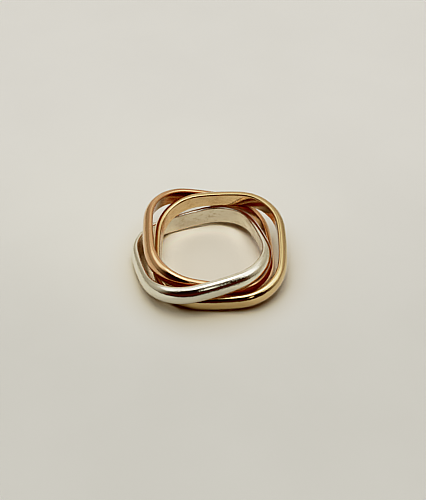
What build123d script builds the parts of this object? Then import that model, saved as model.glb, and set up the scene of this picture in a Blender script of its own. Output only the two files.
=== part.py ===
"""A rolling ring: three interlinked soft-square bands, lying on a surface as they settle by themselves.

Millimetres, +Z up. The origin is on the surface, under the middle of the whole ring.
"""
import os
from collections import namedtuple
from math import asin, atan2, cos, degrees, hypot, pi, sin, sqrt

from build123d import *

os.makedirs("parts", exist_ok=True)

# The three bands are alike: a square hoop with round corners and slightly bowed sides.
inner_side = 18.0
corner_radius = 6.2
side_bow_radius = 40.0

# Section of a band: a flat inner wall, two low straight edges and an elliptical dome outside.
band_width = 2.9
band_thickness = 1.3
edge_height = 0.3
edge_radius = 0.12

# Play that the places of the bands allow for, across the thickness and across the width.
band_play = 0.08

# How each band lies in the pile, with directions in degrees counted from +X towards +Y:
# shift    how far its centre lies from the middle of the pile, a share of thickness and play
# toward   the direction of that shift
# rise     how far its high side stands above its centre, a share of width and play
# high     the direction of its high side
# turn     how far its sides are turned from the X and Y axes
BandPlace = namedtuple("BandPlace", "name shift toward rise high turn")
band_places = [
    BandPlace(name="rose_band", shift=0.79, toward=97, rise=0.97, high=168, turn=5),
    BandPlace(name="yellow_band", shift=1.13, toward=-12, rise=0.90, high=72, turn=0),
    BandPlace(name="silver_band", shift=1.14, toward=208, rise=0.72, high=316, turn=17),
]

# The inner wall is eight tangent arcs. A side's arc is centred on the axis through that side,
# and a corner's arc on the diagonal.
side_centre = inner_side / 2 - side_bow_radius
corner_centre = (side_centre + sqrt(2 * (side_bow_radius - corner_radius) ** 2 - side_centre**2)) / 2
half_side_angle = degrees(atan2(corner_centre, corner_centre - side_centre))
half_diagonal = corner_centre * sqrt(2) + corner_radius


def tilted_plane(place):
    """The band's middle plane at its lean and turn, with its centre still at the origin."""
    rise = place.rise * (band_width + band_play)
    tilt = degrees(asin(rise / (half_diagonal + band_thickness)))
    lean_axis = Axis((0, 0, 0), Vector(1, 0, 0).rotate(Axis.Z, place.high - 90))
    across = Vector(1, 0, 0).rotate(Axis.Z, place.turn).rotate(lean_axis, tilt)
    return Plane(origin=(0, 0, 0), x_dir=across, z_dir=Vector(0, 0, 1).rotate(lean_axis, tilt))


def band_reach(plane, direction):
    """How far a band on this plane stands out from its own centre in a direction."""
    along_x = direction.dot(plane.x_dir)
    along_y = direction.dot(plane.y_dir)
    in_plane = hypot(along_x, along_y)
    off_side = abs((atan2(along_y, along_x) + pi / 4) % (pi / 2) - pi / 4)
    if degrees(off_side) < half_side_angle:
        wall = side_centre * cos(off_side) + side_bow_radius
    else:
        wall = corner_centre * (cos(off_side) + sin(off_side)) + corner_radius
    dome_out = (band_thickness - edge_height) * in_plane
    dome_across = band_width / 2 * direction.dot(plane.z_dir)
    return in_plane * (wall + edge_height) + hypot(dome_out, dome_across)


def resting_plane(place):
    """The band's plane, shifted from the middle of the pile and lowered until the band touches the surface."""
    plane = tilted_plane(place)
    sideways = place.shift * (band_thickness + band_play)
    height = band_reach(plane, Vector(0, 0, -1))
    plane.origin = Vector(sideways, 0, height).rotate(Axis.Z, place.toward)
    return plane


def middle_along(planes, direction):
    """Where the middle of the whole pile lies along a direction."""
    furthest = max(plane.origin.dot(direction) + band_reach(plane, direction) for plane in planes)
    nearest = min(plane.origin.dot(direction) - band_reach(plane, -direction) for plane in planes)
    return (furthest + nearest) / 2


band_planes = [resting_plane(place) for place in band_places]
pile_middle = Vector(
    middle_along(band_planes, Vector(1, 0, 0)),
    middle_along(band_planes, Vector(0, 1, 0)),
    0,
)

for place, plane in zip(band_places, band_planes):
    plane.origin = plane.origin - pile_middle

    with BuildPart() as band:
        with BuildLine(plane) as inner_wall:
            for quarter in range(4):
                facing = 90 * quarter
                side_middle = tuple(Vector(side_centre, 0).rotate(Axis.Z, facing))
                corner_middle = tuple(Vector(corner_centre, corner_centre).rotate(Axis.Z, facing))
                CenterArc(side_middle, side_bow_radius, facing - half_side_angle, 2 * half_side_angle)
                CenterArc(corner_middle, corner_radius, facing + half_side_angle, 90 - 2 * half_side_angle)

        path = inner_wall.wire()
        along = path % 0
        with BuildSketch(Plane(origin=path @ 0, x_dir=along.cross(plane.z_dir), z_dir=along)) as section:
            with BuildLine():
                FilletPolyline(
                    (edge_height, band_width / 2),
                    (0, band_width / 2),
                    (0, -band_width / 2),
                    (edge_height, -band_width / 2),
                    radius=edge_radius,
                )
                EllipticalCenterArc(
                    (edge_height, 0),
                    band_thickness - edge_height,
                    band_width / 2,
                    start_angle=-90,
                    arc_size=180,
                )
            make_face()
        sweep(sections=section.sketch, path=path)

    band.part.label = place.name
    export_step(band.part, f"parts/{place.name}.step")
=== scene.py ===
"""A rolling ring of three linked soft-square bands on a pale surface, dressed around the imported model.

Metres, +Z up. The camera stands on the -Y side.
"""

import math
from collections import namedtuple

import bpy
import numpy as np
from mathutils import Matrix, Vector, noise


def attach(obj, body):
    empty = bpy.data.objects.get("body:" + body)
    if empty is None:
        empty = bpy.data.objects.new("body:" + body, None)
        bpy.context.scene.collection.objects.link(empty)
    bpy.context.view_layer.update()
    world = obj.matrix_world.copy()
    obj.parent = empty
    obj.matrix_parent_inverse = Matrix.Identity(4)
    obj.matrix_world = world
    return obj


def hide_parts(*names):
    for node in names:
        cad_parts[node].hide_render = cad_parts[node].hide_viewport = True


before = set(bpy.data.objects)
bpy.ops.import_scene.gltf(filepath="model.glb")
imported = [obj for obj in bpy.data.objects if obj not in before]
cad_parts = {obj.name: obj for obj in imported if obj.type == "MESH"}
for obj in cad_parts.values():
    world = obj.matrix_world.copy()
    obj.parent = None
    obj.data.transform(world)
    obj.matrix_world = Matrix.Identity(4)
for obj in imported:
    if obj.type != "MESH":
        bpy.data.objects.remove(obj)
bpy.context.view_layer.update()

MM = 0.001

# The bands' sizes, as in the CAD source.
inner_side = 18.0 * MM
corner_radius = 6.2 * MM
side_bow_radius = 40.0 * MM
band_width = 2.9 * MM
band_thickness = 1.3 * MM
edge_height = 0.3 * MM

# Wear has rounded the wall's edges further than they were made.
worn_edge_radius = 0.27 * MM

# Hand polishing has blended the corners into the sides over this length, and left low waves on the dome,
# which rise and fall by this height about their middle.
corner_blend = 1.6 * MM
polish_wave_height = 0.006 * MM
polish_wave_length = 3.2 * MM

# The steps of a band's mesh, round a quarter of its outline and round each part of its section.
outline_steps = 130
dome_steps = 60
wall_steps = 10
edge_steps = 7

# The points of the flat wall stop this far short of its rounded edges.
wall_inset = 0.02 * MM

# The level sheets of the stage, with the one that only the metal shows a little above the floor, and the
# round wall far behind the ring.
sheet_half_side = 0.6
height_in_metal = 0.02 * MM
backdrop_radius = 0.58
backdrop_height = 0.8
backdrop_sides = 96

# The soft lights that the metal reflects, each laid over the ones before it. They hang at unit height, so
# their places and sizes are slopes: sideways or away, over up.
# middle       the middle of the light's oval
# half_widths  half of the oval's two widths
# turn         how far the first width is turned from +X towards +Y, in degrees
# softness     the share of its size over which the oval fades, either side of its edge
# colour       its red, green and blue, which are above 1 where it is brighter than white
SoftLight = namedtuple("SoftLight", "middle half_widths turn softness colour")
soft_lights = [
    SoftLight((-1.35, 1.22), (1.05, 0.50), -45, 0.5, (0.43, 0.40, 0.34)),
    SoftLight((-0.30, 2.0), (0.45, 0.50), 0, 0.6, (0.80, 0.75, 0.66)),
    SoftLight((0.30, 0.85), (0.50, 0.26), -15, 0.6, (0.82, 0.77, 0.67)),
    SoftLight((0.02, 0.39), (0.22, 0.10), 10, 0.6, (0.43, 0.40, 0.335)),
    SoftLight((0.52, 0.41), (0.30, 0.15), 12, 0.6, (0.97, 0.93, 0.84)),
    SoftLight((-0.63, 0.05), (0.34, 0.60), -30, 0.75, (1.35, 1.32, 1.27)),
    SoftLight((1.75, -0.10), (0.75, 0.42), 0, 0.6, (0.86, 0.81, 0.72)),
    SoftLight((0.55, 1.30), (0.22, 0.34), 0, 0.6, (0.42, 0.38, 0.32)),
    SoftLight((1.02, -0.36), (0.70, 0.50), -39, 0.55, (1.46, 1.43, 1.37)),
    SoftLight((0.17, -0.17), (0.50, 0.30), 10, 0.65, (1.75, 1.71, 1.65)),
    SoftLight((0.09, -0.09), (0.20, 0.14), 0, 0.4, (3.1, 3.05, 2.95)),
]


def quarter_headings():
    """The direction of travel at each step of a quarter of the inner wall's outline, from one side's middle
    to the next, with the turn eased where a corner starts and ends. With it, the length of a step."""
    side_centre = inner_side / 2 - side_bow_radius
    between_centres = side_bow_radius - corner_radius
    corner_centre = (side_centre + math.sqrt(2 * between_centres**2 - side_centre**2)) / 2
    half_side_angle = math.atan2(corner_centre, corner_centre - side_centre)
    half_side = side_bow_radius * half_side_angle
    corner = corner_radius * (math.pi / 2 - 2 * half_side_angle)
    length = 2 * half_side + corner
    step = length / outline_steps

    # The bend is averaged in fine steps, over three quarters so that the middle one is whole.
    fine_steps = 4000
    fine = np.linspace(-length, 2 * length, 3 * fine_steps + 1)
    fine_step = fine[1] - fine[0]
    along = fine % length
    in_corner = (along > half_side) & (along < half_side + corner)
    bend = np.where(in_corner, 1 / corner_radius, 1 / side_bow_radius)
    window = np.ones(int(corner_blend / fine_step))
    bend = np.convolve(bend, window / window.size, mode="same")
    turned = np.cumsum(bend) * fine_step
    middle_of_step = (np.arange(outline_steps) + 0.5) * step
    start = np.interp(0, fine, turned)
    headings = (np.interp(middle_of_step, fine, turned) - start) * (math.pi / 2)
    headings /= np.interp(length, fine, turned) - start
    return headings + math.pi / 2, step


def wall_outline():
    """Points round the inner wall's outline, in its own plane, and the outward direction at each."""
    headings, step = quarter_headings()
    headings = np.concatenate([headings + quarter * math.pi / 2 for quarter in range(4)])
    moves = step * np.stack([np.cos(headings), np.sin(headings)], axis=1)
    points = np.cumsum(moves, axis=0) - moves
    points -= points.mean(axis=0)
    before = np.roll(headings, 1)
    before[0] -= 2 * math.pi
    heading = (headings + before) / 2
    return points, np.stack([np.sin(heading), -np.cos(heading)], axis=1)


def worn_edge(side, angles):
    """Points round one of the wall's two edges, on side -1 or 1 across the band. Angle 0 is on the wall."""
    points = []
    for angle in angles:
        outward = worn_edge_radius * (1 - math.cos(angle))
        across = side * (band_width / 2 - worn_edge_radius * (1 - math.sin(angle)))
        points.append((outward, across, 1.0 if angle == 0 else 0.0))
    return points


def band_section():
    """Points round a band's section: outward from the wall, across the band, and 1 on the flat wall or 0
    off it."""
    half_width = band_width / 2
    flat_half = half_width - (worn_edge_radius + wall_inset)
    points = [(0.0, across, 1.0) for across in np.linspace(flat_half, -flat_half, wall_steps + 1)]
    points += worn_edge(-1, np.linspace(0, math.pi / 2, edge_steps + 1))
    dome_rise = band_thickness - edge_height
    for angle in np.linspace(-math.pi / 2, math.pi / 2, dome_steps + 1):
        points.append((edge_height + dome_rise * math.cos(angle), half_width * math.sin(angle), 0.0))
    points += worn_edge(1, np.linspace(math.pi / 2, 0, edge_steps + 1))
    return np.array(points)


def band_axes(node):
    """A CAD band's middle and its own three axes, worked out from its surface: towards the middles of two
    neighbouring sides, and out of its plane."""
    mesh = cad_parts[node].data
    mesh.calc_loop_triangles()
    places = np.empty(len(mesh.vertices) * 3)
    mesh.vertices.foreach_get("co", places)
    corners = np.empty(len(mesh.loop_triangles) * 3, dtype=np.int32)
    mesh.loop_triangles.foreach_get("vertices", corners)
    triangles = places.reshape(-1, 3)[corners.reshape(-1, 3)]
    first_sides = triangles[:, 1] - triangles[:, 0]
    second_sides = triangles[:, 2] - triangles[:, 0]
    areas = np.linalg.norm(np.cross(first_sides, second_sides), axis=1)
    middle = np.average(triangles.mean(axis=1), axis=0, weights=areas)

    # The band spreads least out of its plane.
    arms = triangles - middle
    spread = np.einsum("t,tki,tkj->ij", areas, arms, arms)
    total = arms.sum(axis=1)
    spread += np.einsum("t,ti,tj->ij", areas, total, total)
    out = np.linalg.eigh(spread)[1][:, 0]
    out *= math.copysign(1, out[2])
    across = np.cross((0, 1, 0), out)
    across /= np.linalg.norm(across)
    beside = np.cross(out, across)

    # The corners reach furthest, so the fourth power of every place adds up to their direction.
    centres = total / 3
    fourfold = (areas * (centres @ across + 1j * (centres @ beside)) ** 4).sum()
    turn = np.angle(-fourfold) / 4
    first = math.cos(turn) * across + math.sin(turn) * beside
    return middle, first, np.cross(out, first), out


def polish(local, outward, section, seed):
    """Sinks the dome's points a little, in low waves. The seed is where in the noise they come from."""
    dome_rise = band_thickness - edge_height
    dome = np.clip((section[:, 0] - edge_height) / dome_rise, 0, 1)
    for step, row in np.ndindex(local.shape[:2]):
        if dome[row] > 0:
            wave = noise.noise(Vector(local[step, row]) / polish_wave_length + seed)
            sink = polish_wave_height * dome[row] * (wave - 1)
            local[step, row, :2] += outward[step] * sink


def add_grain(mesh, local, section, girth):
    """Tells the materials which points are on the flat wall, and where each lies in the band's grain, in
    millimetres: across it by height and depth, and along it by a place on a circle as long as the wall."""
    wall = mesh.attributes.new("wall", "FLOAT", "POINT")
    wall.data.foreach_set("value", np.tile(section[:, 2], len(local)))
    shape = local.shape[:2]
    height = local[..., 2]
    depth = np.broadcast_to(section[:, 0], shape)
    turned = np.arctan2(local[..., 1], local[..., 0])
    radius = girth / (2 * math.pi)
    for label, first, second in (
        ("grain_across", height, depth),
        ("grain_along", radius * np.cos(turned), radius * np.sin(turned)),
    ):
        layer = mesh.attributes.new(label, "FLOAT_VECTOR", "POINT")
        grain = np.stack([first, second, np.zeros(shape)], axis=2)
        layer.data.foreach_set("vector", grain.reshape(-1) / MM)


def make_band(name, node, body, material):
    """One band as a mesh: the wall's outline carrying the section, with the polish's waves in its dome."""
    outline, outward = wall_outline()
    section = band_section()
    rounds, rows = len(outline), len(section)
    flat = outline[:, None, :] + outward[:, None, :] * section[None, :, 0:1]
    heights = np.broadcast_to(section[None, :, 1:2], (rounds, rows, 1))
    local = np.concatenate([flat, heights], axis=2)

    # Each band's waves come from their own place in the noise.
    seed = Vector((7.0 * len(name), 3.0, 5.0))
    polish(local, outward, section, seed)

    middle, first, second, out = band_axes(node)
    places = middle + local @ np.stack([first, second, out])
    steps = np.arange(rounds * rows).reshape(rounds, rows)
    ahead = np.roll(steps, -1, axis=0)
    above = np.roll(steps, -1, axis=1)
    both = np.roll(ahead, -1, axis=1)
    faces = np.stack([steps, ahead, both, above], axis=2).reshape(-1, 4)

    mesh = bpy.data.meshes.new(name)
    mesh.from_pydata(places.reshape(-1, 3).tolist(), [], faces.tolist())
    mesh.polygons.foreach_set("use_smooth", [True] * len(mesh.polygons))
    add_grain(mesh, local, section, rounds * np.linalg.norm(outline[1] - outline[0]))
    mesh.materials.append(material)
    band = bpy.data.objects.new(name, mesh)
    bpy.context.scene.collection.objects.link(band)
    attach(band, body)
    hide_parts(node)


def emptied_tree(owner):
    """The node tree of a material, world or scene, with nothing in it yet."""
    owner.use_nodes = True
    owner.node_tree.nodes.clear()
    return owner.node_tree


def new_material(name, shader_type="ShaderNodeBsdfPrincipled"):
    """A material with its node tree, and its shader already on the output."""
    material = bpy.data.materials.new(name)
    tree = emptied_tree(material)
    shader = tree.nodes.new(shader_type)
    output = tree.nodes.new("ShaderNodeOutputMaterial")
    tree.links.new(shader.outputs[0], output.inputs["Surface"])
    return material, tree, shader


def feed(tree, socket, value):
    """Gives a socket a number, an (r, g, b) colour or another node's output."""
    if isinstance(value, (int, float)):
        socket.default_value = value
    elif isinstance(value, tuple):
        socket.default_value = (*value, 1)
    else:
        tree.links.new(value, socket)


def calculate(tree, operation, first, second=0.0, third=0.0, clamp=False):
    """A Math node's output. Each value is a number or another node's output."""
    node = tree.nodes.new("ShaderNodeMath")
    node.operation = operation
    node.use_clamp = clamp
    for socket, value in zip(node.inputs, (first, second, third)):
        feed(tree, socket, value)
    return node.outputs[0]


def product(tree, first, second):
    """Two values multiplied."""
    return calculate(tree, "MULTIPLY", first, second)


def hypotenuse(tree, first, second):
    """The length of a slanting line that goes this far one way and that far the other."""
    squares = [product(tree, side, side) for side in (first, second)]
    return calculate(tree, "SQRT", calculate(tree, "ADD", *squares))


def split(tree, vector):
    """A vector's X, Y and Z."""
    node = tree.nodes.new("ShaderNodeSeparateXYZ")
    tree.links.new(vector, node.inputs[0])
    return tuple(node.outputs)


def attribute(tree, label, output):
    """What the mesh tells about each of its points, under this label."""
    node = tree.nodes.new("ShaderNodeAttribute")
    node.attribute_name = label
    return node.outputs[output]


def ramp(tree, value, start, end, low=0.0, high=1.0):
    """A smooth rise from low to high as value goes from start to end, up or down."""
    node = tree.nodes.new("ShaderNodeMapRange")
    node.interpolation_type = "SMOOTHSTEP"
    for socket, number in zip(node.inputs[1:5], (start, end, low, high)):
        socket.default_value = number
    tree.links.new(value, node.inputs[0])
    return node.outputs[0]


def between(tree, value, low, high, soft):
    """1 where value lies from low to high, and 0 beyond, with edges soft wide."""
    rising = ramp(tree, value, low - soft / 2, low + soft / 2)
    falling = ramp(tree, value, high + soft / 2, high - soft / 2)
    return product(tree, rising, falling)


def mix_value(tree, share, first, second):
    """A number between two, each a number or another node's output."""
    node = tree.nodes.new("ShaderNodeMix")
    sockets = (node.inputs["Factor"], node.inputs[2], node.inputs[3])
    for socket, value in zip(sockets, (share, first, second)):
        feed(tree, socket, value)
    return node.outputs[0]


def mix_colour(tree, share, first, second, blend="MIX"):
    """A colour between two, each an (r, g, b) or another node's output."""
    node = tree.nodes.new("ShaderNodeMix")
    node.data_type = "RGBA"
    node.blend_type = blend
    sockets = (node.inputs["Factor"], node.inputs[6], node.inputs[7])
    for socket, value in zip(sockets, (share, first, second)):
        feed(tree, socket, value)
    return node.outputs[2]


def tinted(tree, share, colour, tint):
    """A colour multiplied by a tint, in part."""
    return mix_colour(tree, share, colour, tint, "MULTIPLY")


def soft_oval(tree, across, ahead, middle, half_widths, turn, softness):
    """1 inside an oval and 0 outside it, fading over a share of its size either side of its edge."""
    from_x = calculate(tree, "SUBTRACT", across, middle[0])
    from_y = calculate(tree, "SUBTRACT", ahead, middle[1])
    shares = []
    for half_width, angle in zip(half_widths, (turn, turn + 90)):
        share_x = product(tree, from_x, math.cos(math.radians(angle)) / half_width)
        share_y = product(tree, from_y, math.sin(math.radians(angle)) / half_width)
        shares.append(calculate(tree, "ADD", share_x, share_y))
    return ramp(tree, hypotenuse(tree, *shares), 1 + softness, 1 - softness)


def make_studio():
    """What the metal reflects: soft lights overhead, an uneven pale room behind and beside the ring, and the
    dark on the camera's side, with a narrow bright gap in it and a dim patch above the gap."""
    world = bpy.data.worlds.new("studio")
    bpy.context.scene.world = world
    world.cycles_visibility.diffuse = False
    tree = emptied_tree(world)
    right, away, up = split(tree, tree.nodes.new("ShaderNodeTexCoord").outputs["Generated"])

    # Nothing is divided by less than these.
    least_level = 0.01
    least_height = 0.02
    level = calculate(tree, "MAXIMUM", hypotenuse(tree, right, away), least_level)
    rightward = calculate(tree, "DIVIDE", right, level)
    backward = calculate(tree, "DIVIDE", away, level)

    higher = ramp(tree, up, 0.2, 0.9)
    left_side = mix_colour(tree, higher, (0.39, 0.36, 0.305), (0.61, 0.58, 0.51))
    right_side = mix_colour(tree, higher, (0.455, 0.42, 0.35), (0.70, 0.655, 0.575))
    sides = mix_colour(tree, ramp(tree, rightward, 0.0, 1.0), left_side, right_side)
    room = mix_colour(tree, ramp(tree, backward, 0.76, 1.0), sides, (0.57, 0.525, 0.455))
    dark = mix_colour(tree, ramp(tree, up, 0.05, 0.45), (0.080, 0.027, 0.015), (0.017, 0.014, 0.011))
    light = mix_colour(tree, ramp(tree, backward, -0.20, -0.78), room, dark)

    forward = calculate(tree, "MAXIMUM", product(tree, away, -1.0), least_level)
    bearing = calculate(tree, "DIVIDE", right, forward)
    patch = product(tree, between(tree, bearing, 0.27, 0.46, 0.10), between(tree, up, 0.58, 0.86, 0.12))
    gap = product(tree, between(tree, bearing, 0.29, 0.46, 0.04), between(tree, up, 0.38, 0.58, 0.06))
    light = mix_colour(tree, patch, light, (0.36, 0.34, 0.30))
    light = mix_colour(tree, gap, light, (1.0, 0.95, 0.85))

    height = calculate(tree, "MAXIMUM", up, least_height)
    slopes = [calculate(tree, "DIVIDE", reach, height) for reach in (right, away)]
    for middle, half_widths, turn, softness, colour in soft_lights:
        oval = soft_oval(tree, *slopes, middle, half_widths, turn, softness)
        light = mix_colour(tree, oval, light, colour)

    background = tree.nodes.new("ShaderNodeBackground")
    tree.links.new(light, background.inputs["Color"])
    output = tree.nodes.new("ShaderNodeOutputWorld")
    tree.links.new(background.outputs[0], output.inputs["Surface"])


def make_overhead_lamps():
    """A wide soft light from nearly straight above and a narrower one from a little in front, both out of
    the metal's sight. They alone light the surface, so the shadows stay short."""
    sideways_tilt = -4

    # Widths and tilts are in degrees.
    for name, width, energy, forward_tilt in (("wide_lamp", 82, 1.50, -4), ("narrow_lamp", 34, 1.25, 11)):
        data = bpy.data.lights.new(name, "SUN")
        data.angle = math.radians(width)
        data.energy = energy
        data.color = (1.0, 0.985, 0.95)
        lamp = bpy.data.objects.new(name, data)
        lamp.rotation_euler = (math.radians(forward_tilt), math.radians(sideways_tilt), 0)
        lamp.visible_glossy = False
        bpy.context.scene.collection.objects.link(lamp)


def grain_noise(tree, across, along, detail, roughness=0.5):
    """Noise in a band's own grain: so many features to the millimetre across it and along it. It has four
    dimensions, because a place in the grain is two numbers across the band and two along it."""
    places = []
    for label, scale in (("grain_across", across), ("grain_along", along)):
        scaled = tree.nodes.new("ShaderNodeVectorMath")
        scaled.operation = "SCALE"
        scaled.inputs["Scale"].default_value = scale
        tree.links.new(attribute(tree, label, "Vector"), scaled.inputs[0])
        places += split(tree, scaled.outputs[0])[:2]
    joined = tree.nodes.new("ShaderNodeCombineXYZ")
    for socket, value in zip(joined.inputs, places[:3]):
        tree.links.new(value, socket)
    noise_node = tree.nodes.new("ShaderNodeTexNoise")
    noise_node.noise_dimensions = "4D"
    noise_node.inputs["Scale"].default_value = 1.0
    noise_node.inputs["Detail"].default_value = detail
    noise_node.inputs["Roughness"].default_value = roughness
    tree.links.new(joined.outputs[0], noise_node.inputs["Vector"])
    tree.links.new(places[3], noise_node.inputs["W"])
    return noise_node.outputs[0]


def tarnished_tone(tree, wall, haze, dome_colour, wall_colour, tarnish):
    """The clean metal's colour under a light veil of tarnish, with spots of it on the wall."""
    spots = grain_noise(tree, 1.7, 1.2, 4.0, 0.65)
    dome_share = ramp(tree, haze, 0.35, 0.8, 0.0, 0.35)
    wall_veil = ramp(tree, haze, 0.42, 0.66, 0.0, 0.35)
    wall_spots = ramp(tree, spots, 0.50, 0.70, 0.0, 0.55)
    wall_share = calculate(tree, "ADD", wall_veil, wall_spots, clamp=True)
    clean = mix_colour(tree, wall, dome_colour, wall_colour)
    return mix_colour(tree, mix_value(tree, wall, dome_share, wall_share), clean, tarnish)


def scratched_roughness(tree, wall, haze):
    """Smooth on the dome, with fine scratches lengthwise, and rougher in cloudy patches on the wall."""
    scratches = grain_noise(tree, 14.0, 0.9, 3.0)
    dome_roughness = ramp(tree, scratches, 0.3, 0.75, 0.03, 0.07)
    wall_roughness = ramp(tree, haze, 0.3, 0.7, 0.10, 0.16)
    return mix_value(tree, wall, dome_roughness, wall_roughness)


def bumped(tree, height, depth, strength, under=None):
    """The surface's direction with a bump this deep, over another bump's where there is one."""
    node = tree.nodes.new("ShaderNodeBump")
    node.inputs["Distance"].default_value = depth
    feed(tree, node.inputs["Strength"], strength)
    feed(tree, node.inputs["Height"], height)
    if under is not None:
        feed(tree, node.inputs["Normal"], under)
    return node.outputs[0]


def worn_relief(tree, wall, haze, pit_depth):
    """The surface's direction: brushed lengthwise, mostly on the wall, pitted where the tarnish lies, and
    dented all over."""
    brushing_depth = 0.004 * MM
    dent_depth = 0.01 * MM
    brushing = grain_noise(tree, 26.0, 1.6, 4.0, 0.6)
    pits = grain_noise(tree, 4.5, 4.5, 3.0, 0.6)
    dents = grain_noise(tree, 3.2, 1.7, 2.0)
    brushed = bumped(tree, brushing, brushing_depth, ramp(tree, wall, 0.0, 1.0, 0.05, 0.35))
    pitted = bumped(tree, pits, pit_depth, ramp(tree, haze, 0.40, 0.62, 0.25, 1.0), brushed)
    return bumped(tree, dents, dent_depth, 0.75, pitted)


def band_metal(name, dome_colour, wall_colour, tarnish, pit_depth):
    """Polished metal on the dome, worn and more tarnished on the flat wall, under the thin film that
    handling leaves. Seen in another band it is less sharp, and painted shade makes it redder and darker
    there, deep red where seen twice over."""
    material, tree, shader = new_material(name)
    shader.inputs["Metallic"].default_value = 1.0
    shader.inputs["Coat Weight"].default_value = 0.6
    shader.inputs["Coat Roughness"].default_value = 0.12
    wall = attribute(tree, "wall", "Fac")
    haze = grain_noise(tree, 0.5, 0.35, 4.0, 0.6)
    bounces = tree.nodes.new("ShaderNodeLightPath").outputs["Glossy Depth"]
    reflected_shade_and_blur = calculate(tree, "MINIMUM", bounces, 1.0)
    reflected_again_painted_shade = calculate(tree, "SUBTRACT", bounces, 1.0, clamp=True)

    tone = tarnished_tone(tree, wall, haze, dome_colour, wall_colour, tarnish)
    # Painted shade: where a band is seen in another band its colour is darkened and reddened, more deeply
    # where seen twice over, for the gaps between the bands.
    tone = tinted(tree, reflected_shade_and_blur, tone, (0.86, 0.64, 0.50))
    tone = tinted(tree, reflected_again_painted_shade, tone, (0.86, 0.29, 0.23))
    tree.links.new(tone, shader.inputs["Base Color"])
    roughness = calculate(tree, "MULTIPLY_ADD", reflected_shade_and_blur, 0.22, scratched_roughness(tree, wall, haze))
    tree.links.new(roughness, shader.inputs["Roughness"])
    tree.links.new(worn_relief(tree, wall, haze, pit_depth), shader.inputs["Normal"])
    return material


def matt_material(name):
    """A matt material with its node tree and shader."""
    material, tree, shader = new_material(name)
    shader.inputs["Roughness"].default_value = 0.9
    shader.inputs["Specular IOR Level"].default_value = 0.2
    return material, tree, shader


def surface_tone(tree):
    """The surface's matt off-white, a little uneven, with painted shade making it darker towards the front
    than at the back, painted warm light from the bands making it warmer near the ring, and more painted
    light and shade round the bands. With it, each place's X and Y and its distance from the middle."""
    place = tree.nodes.new("ShaderNodeTexCoord").outputs["Object"]
    across, ahead, _ = split(tree, place)
    distance = hypotenuse(tree, across, ahead)
    mottling = tree.nodes.new("ShaderNodeTexNoise")
    mottling.inputs["Scale"].default_value = 55.0
    mottling.inputs["Detail"].default_value = 3.0
    tree.links.new(place, mottling.inputs["Vector"])
    uneven = ramp(tree, mottling.outputs[0], 0.3, 0.7)
    front = mix_colour(tree, uneven, (0.690, 0.676, 0.614), (0.710, 0.696, 0.633))
    back = mix_colour(tree, uneven, (0.822, 0.796, 0.728), (0.842, 0.816, 0.746))
    # Painted shade: the surface is darker towards the front.
    tone = mix_colour(tree, ramp(tree, ahead, -0.030, 0.045), front, back)

    shelter = tree.nodes.new("ShaderNodeAmbientOcclusion")
    shelter.samples = 8
    shelter.inputs["Distance"].default_value = 5 * MM
    openness = shelter.outputs["AO"]

    # How far from the middle the finger hole ends, the slots between the bands end, and the ring's left and
    # right sides start, each with its softness: the change begins at the first and is done at the second.
    hole_inner, hole_outer = 0.0088, 0.0098
    slot_inner, slot_outer = 0.0104, 0.0114
    side_inner, side_outer = 0.006, 0.0085

    # Outside the finger hole, painted light makes the surface paler behind the ring, and painted shade makes
    # it browner and darker where the bands
    #     shelter it. In the slots between the bands painted shade makes it darker at the left and painted
    #     light makes it brighter at the right.
    # Painted warm light from the bands near the ring, which also darkens the surface a little.
    painted_warm_bounce = ramp(tree, distance, 0.017, 0.010)
    outside = ramp(tree, distance, hole_inner, hole_outer)
    behind = product(tree, outside, soft_oval(tree, across, ahead, (-0.008, 0.013), (0.026, 0.022), 0, 0.6))
    painted_brown_shade = product(tree, outside, ramp(tree, openness, 0.70, 0.35))
    painted_contact_shadow = product(tree, outside, ramp(tree, openness, 0.40, 0.08))
    slot = product(tree, outside, ramp(tree, distance, slot_outer, slot_inner))
    slot = product(tree, slot, ramp(tree, openness, 0.85, 0.35))
    left_slot_painted_shade = product(tree, slot, ramp(tree, across, -side_inner, -side_outer))
    right_slot_painted_light = product(tree, slot, ramp(tree, across, side_inner, side_outer))

    # In the hole painted light stands for the light the walls throw on the surface, most at their feet and
    # least at the right.
    inside = ramp(tree, distance, hole_outer, hole_inner)
    not_right = product(tree, inside, ramp(tree, across, 0.0065, 0.0035))
    painted_wall_light = product(tree, inside, ramp(tree, openness, 1.0, 0.45))
    painted_wall_light_nearer = product(tree, not_right, ramp(tree, openness, 0.80, 0.45))
    painted_wall_light_at_foot = product(tree, not_right, ramp(tree, openness, 0.50, 0.25))
    for share, tint in (
        (painted_warm_bounce, (0.95, 0.90, 0.825)),
        (behind, (1.075, 1.075, 1.055)),
        (painted_brown_shade, (0.99, 0.94, 0.84)),
        (painted_contact_shadow, (0.38, 0.235, 0.10)),
        (left_slot_painted_shade, (0.40, 0.29, 0.17)),
        (right_slot_painted_light, (1.38, 1.40, 1.42)),
        (painted_wall_light, (1.34, 1.34, 1.33)),
        (painted_wall_light_nearer, (1.45, 1.43, 1.38)),
        (painted_wall_light_at_foot, (1.55, 1.50, 1.42)),
    ):
        tone = tinted(tree, share, tone, tint)
    return tone, across, ahead, distance


def add_to_stage(name, material, places, faces):
    """A mesh on the stage, which isn't part of the ring."""
    mesh = bpy.data.meshes.new(name)
    mesh.from_pydata(places, [], faces)
    mesh.materials.append(material)
    sheet = bpy.data.objects.new(name, mesh)
    bpy.context.scene.collection.objects.link(sheet)
    return sheet


def level_sheet(name, material, height):
    """A square level sheet on the stage."""
    corners = ((-1, -1), (1, -1), (1, 1), (-1, 1))
    places = [(x * sheet_half_side, y * sheet_half_side, height) for x, y in corners]
    return add_to_stage(name, material, places, [(0, 1, 2, 3)])


def make_floor():
    """The pale surface that the ring lies on."""
    material, tree, shader = matt_material("pale_surface")
    tree.links.new(surface_tone(tree)[0], shader.inputs["Base Color"])
    level_sheet("floor", material, 0.0)


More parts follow.
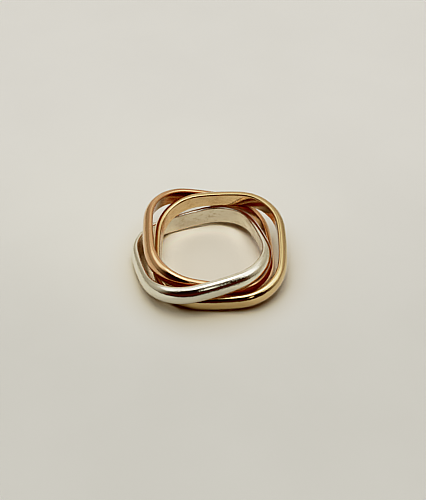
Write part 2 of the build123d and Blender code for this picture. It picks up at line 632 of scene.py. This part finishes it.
def make_floor_in_metal():
    """The same surface as the metal shows it, unseen otherwise. Painted shade makes it dimmer in a strip
    from front to back through the ring, in two patches at the right and far from the ring, and it ends in
    the dark in front."""
    material, tree, shader = matt_material("pale_surface_in_metal")
    tone, across, ahead, distance = surface_tone(tree)
    # Painted shade: the surface as the metal shows it is dimmed in these places.
    for share, tint in (
        (between(tree, across, -0.011, 0.008, 0.006), (0.75, 0.75, 0.75)),
        (soft_oval(tree, across, ahead, (0.048, 0.033), (0.034, 0.015), 34, 0.5), (0.48, 0.44, 0.38)),
        (soft_oval(tree, across, ahead, (0.062, -0.022), (0.028, 0.012), -15, 0.5), (0.62, 0.58, 0.52)),
        (ramp(tree, distance, 0.022, 0.070), (0.80, 0.77, 0.72)),
    ):
        tone = tinted(tree, share, tone, tint)
    tone = mix_colour(tree, ramp(tree, ahead, -0.026, -0.043), tone, (0.020, 0.009, 0.006))
    tree.links.new(tone, shader.inputs["Base Color"])
    sheet = level_sheet("floor_in_metal", material, height_in_metal)
    sheet.visible_camera = False
    sheet.visible_diffuse = False
    sheet.visible_shadow = False


def make_backdrop():
    """A plain pale wall all round, far behind the ring. Only the camera sees it, and only from low down."""
    material, _, glow = new_material("pale_wall", "ShaderNodeEmission")
    glow.inputs["Color"].default_value = (0.60, 0.575, 0.515, 1)
    places = []
    for height in (0.0, backdrop_height):
        for side in range(backdrop_sides):
            angle = 2 * math.pi * side / backdrop_sides
            places.append((backdrop_radius * math.cos(angle), backdrop_radius * math.sin(angle), height))
    faces = []
    for side in range(backdrop_sides):
        following = (side + 1) % backdrop_sides
        faces.append((side, backdrop_sides + side, backdrop_sides + following, following))
    wall = add_to_stage("backdrop", material, places, faces)
    wall.visible_diffuse = False
    wall.visible_glossy = False
    wall.visible_shadow = False


def make_camera():
    """The photograph's camera: above and in front of the ring, on its -Y side."""
    elevation = math.radians(44.75)
    roll = math.radians(0.40)
    distance = 142.6 * MM
    target = Vector((0.714, 3.222, 0.0)) * MM
    pixels_per_radian = 899.4
    frame_height = 500
    forward = Vector((0, math.cos(elevation), -math.sin(elevation)))
    level = Vector((1, 0, 0))
    upright = level.cross(forward)
    right = math.cos(roll) * level + math.sin(roll) * upright
    up = math.cos(roll) * upright - math.sin(roll) * level
    facing = Matrix((right, up, -forward)).transposed().to_4x4()
    data = bpy.data.cameras.new("camera")
    data.sensor_width = 36.0
    data.lens = pixels_per_radian * data.sensor_width / frame_height
    data.clip_start = 0.01
    data.clip_end = 10.0
    camera = bpy.data.objects.new("camera", data)
    camera.matrix_world = Matrix.Translation(target - distance * forward) @ facing
    bpy.context.scene.collection.objects.link(camera)
    bpy.context.scene.camera = camera


def camera_look():
    """Deepens and warms the darks, rolls off the brightest parts and sharpens a little, as a phone's camera
    does."""
    scene = bpy.context.scene
    scene.view_settings.view_transform = "Standard"
    tree = emptied_tree(scene)
    screen_gamma = 2.2
    encode = tree.nodes.new("CompositorNodeGamma")
    encode.inputs["Gamma"].default_value = 1 / screen_gamma
    tone_curve = tree.nodes.new("CompositorNodeCurveRGB")

    # The curve reaches this far, with 1 as white.
    brightest = 1.6
    tone_curve.inputs["White Level"].default_value = (brightest, brightest, brightest, 1)

    # Each shade, and what it becomes in red, green and blue.
    for shade, shown in (
        (0.13, (0.105, 0.055, 0.05)),
        (0.25, (0.215, 0.18, 0.168)),
        (0.5, (0.475, 0.475, 0.475)),
        (0.8, (0.80, 0.80, 0.80)),
        (1.0, (0.91, 0.91, 0.91)),
        (1.3, (0.975, 0.975, 0.975)),
    ):
        for curve, level in zip(tone_curve.mapping.curves, shown):
            curve.points.new(shade / brightest, level)
    tone_curve.mapping.update()
    sharpen = tree.nodes.new("CompositorNodeFilter")
    sharpen.filter_type = "SHARPEN"
    sharpen.inputs["Fac"].default_value = 0.11
    decode = tree.nodes.new("CompositorNodeGamma")
    decode.inputs["Gamma"].default_value = screen_gamma
    picture = tree.nodes.new("CompositorNodeRLayers").outputs["Image"]
    for node in (encode, tone_curve, sharpen, decode, tree.nodes.new("CompositorNodeComposite")):
        tree.links.new(picture, node.inputs["Image"])
        if node.outputs:
            picture = node.outputs["Image"]


rose = band_metal(
    "rose_gold",
    dome_colour=(0.76, 0.49, 0.29),
    wall_colour=(0.86, 0.60, 0.38),
    tarnish=(0.58, 0.34, 0.16),
    pit_depth=0.024 * MM,
)
yellow = band_metal(
    "yellow_gold",
    dome_colour=(0.71, 0.535, 0.30),
    wall_colour=(0.91, 0.72, 0.45),
    tarnish=(0.61, 0.42, 0.20),
    pit_depth=0.020 * MM,
)
silver = band_metal(
    "silver",
    dome_colour=(0.88, 0.845, 0.725),
    wall_colour=(0.95, 0.905, 0.775),
    tarnish=(0.55, 0.46, 0.31),
    pit_depth=0.034 * MM,
)
make_band("rose_gold_band", "rose_band", "rose", rose)
make_band("yellow_gold_band", "yellow_band", "yellow", yellow)
make_band("silver_metal_band", "silver_band", "silver", silver)
make_floor()
make_floor_in_metal()
make_studio()
make_overhead_lamps()
make_backdrop()
make_camera()
camera_look()

# Light is followed through up to four reflections from band to band.
bpy.context.scene.cycles.glossy_bounces = 4
